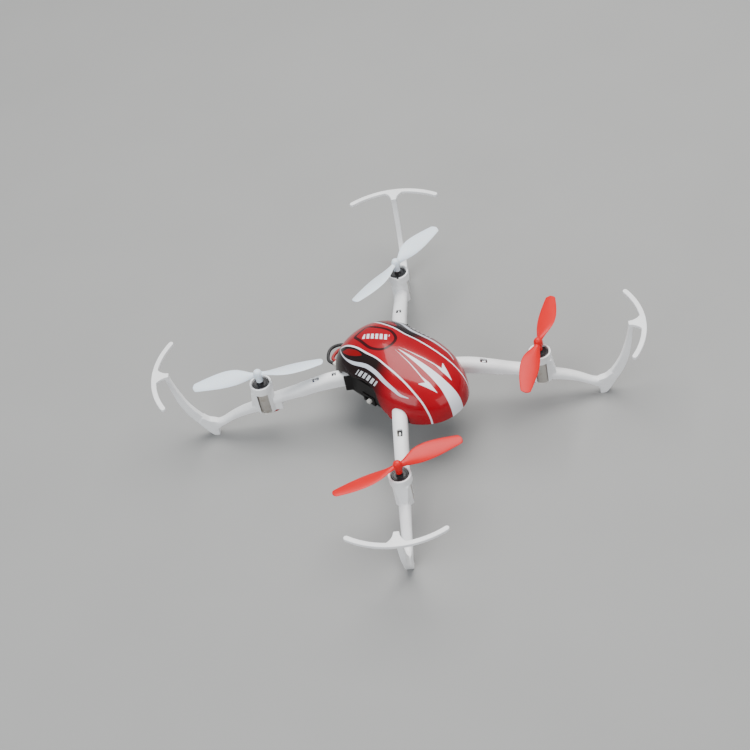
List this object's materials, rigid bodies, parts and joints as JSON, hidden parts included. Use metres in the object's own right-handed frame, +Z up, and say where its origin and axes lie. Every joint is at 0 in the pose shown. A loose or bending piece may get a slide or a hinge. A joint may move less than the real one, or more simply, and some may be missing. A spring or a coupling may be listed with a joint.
{
  "type": "mini quadcopter drone",
  "caption": "Palm-sized drone: red dome canopy on a black lower shell, white arms with motor pods, legs and arc bumpers, two-blade propellers and a slide-in battery.",
  "frame": {"origin": "on the ground plane, under the middle of the body, where the diagonals between the motors cross", "axes": "+Z up, nose towards -Y, the drone's left towards +X"},
  "size_m": [0.1632, 0.1632, 0.0395],
  "materials": {
    "canopy_lacquer": "high gloss lacquer, red with white, grey and black decals",
    "white_moulding": "satin moulded plastic, off-white",
    "black_moulding": "satin black plastic",
    "blade_white": "thin, slightly translucent, cool white",
    "blade_red": "thin, slightly translucent, bright red",
    "motor_steel": "plain drawn steel",
    "screw_steel": "zinc-plated steel",
    "white_nylon": "natural nylon",
    "battery_foil": "laminated foil pouch",
    "circuit_board": "green solder mask",
    "chip_epoxy": "black epoxy",
    "can_tinplate": "bright tinplate",
    "lamp_resin": "clear yellowish resin",
    "wire_black": "soft insulation",
    "wire_red": "soft insulation",
    "wire_blue": "soft insulation",
    "wire_white": "soft insulation, cream white"
  },
  "bodies": {
    "airframe": {"arm_rear_right": "white_moulding", "arm_cover_rear_right": "white_moulding", "motor_wire_red_rear_right": "wire_red", "motor_wire_blue_rear_right": "wire_blue", "arm_screw_rear_right": "screw_steel", "motor_can_rear_right": "motor_steel", "motor_end_cap_rear_right": "white_nylon", "arm_rear_left": "white_moulding", "arm_cover_rear_left": "white_moulding", "motor_wire_black_rear_left": "wire_black", "motor_wire_white_rear_left": "wire_white", "arm_screw_rear_left": "screw_steel", "motor_can_rear_left": "motor_steel", "motor_end_cap_rear_left": "white_nylon", "arm_front_left": "white_moulding", "arm_cover_front_left": "white_moulding", "motor_wire_red_front_left": "wire_red", "motor_wire_blue_front_left": "wire_blue", "arm_screw_front_left": "screw_steel", "motor_can_front_left": "motor_steel", "motor_end_cap_front_left": "white_nylon", "arm_front_right": "white_moulding", "arm_cover_front_right": "white_moulding", "motor_wire_black_front_right": "wire_black", "motor_wire_white_front_right": "wire_white", "arm_screw_front_right": "screw_steel", "motor_can_front_right": "motor_steel", "motor_end_cap_front_right": "white_nylon", "canopy": "canopy_lacquer", "lower_shell": "black_moulding", "lead_socket": "white_nylon", "socket_wire_black": "wire_black", "socket_wire_red": "wire_red", "main_board": "circuit_board", "main_chip": "chip_epoxy", "gyro_chip": "chip_epoxy", "radio_can": "can_tinplate", "status_led": "lamp_resin", "antenna_wire": "wire_black", "switch_housing": "black_moulding", "canopy_screw_nose": "screw_steel", "canopy_screw_left": "screw_steel", "canopy_screw_right": "screw_steel", "board_screw_left": "screw_steel", "board_screw_right": "screw_steel"},
    "rotor_rear_right": {"propeller_rear_right": "blade_white", "motor_shaft_rear_right": "motor_steel"},
    "rotor_rear_left": {"propeller_rear_left": "blade_white", "motor_shaft_rear_left": "motor_steel"},
    "rotor_front_left": {"propeller_front_left": "blade_red", "motor_shaft_front_left": "motor_steel"},
    "rotor_front_right": {"propeller_front_right": "blade_red", "motor_shaft_front_right": "motor_steel"},
    "switch_slider": {"switch_knob": "white_nylon"},
    "battery_pack": {"battery": "battery_foil", "battery_lead_black": "wire_black", "battery_lead_red": "wire_red", "battery_plug": "white_nylon"}
  },
  "joints": [
    {"name": "rotor_rear_right_spin", "type": "hinge", "parent": "airframe", "child": "rotor_rear_right", "pos_m": [-0.04101, 0.04101, 0.0319], "axis": [0, 0, 1], "continuous": true},
    {"name": "rotor_rear_left_spin", "type": "hinge", "parent": "airframe", "child": "rotor_rear_left", "pos_m": [0.04101, 0.04101, 0.0319], "axis": [0, 0, 1], "continuous": true},
    {"name": "rotor_front_left_spin", "type": "hinge", "parent": "airframe", "child": "rotor_front_left", "pos_m": [0.04101, -0.04101, 0.0319], "axis": [0, 0, 1], "continuous": true},
    {"name": "rotor_front_right_spin", "type": "hinge", "parent": "airframe", "child": "rotor_front_right", "pos_m": [-0.04101, -0.04101, 0.0319], "axis": [0, 0, 1], "continuous": true},
    {"name": "switch_slide", "type": "slide", "parent": "airframe", "child": "switch_slider", "axis": [0, 1, 0], "range_m": [0, 0.002]},
    {"name": "battery_slide", "type": "slide", "parent": "airframe", "child": "battery_pack", "axis": [0, 1, 0], "range_m": [0, 0.04]}
  ]
}
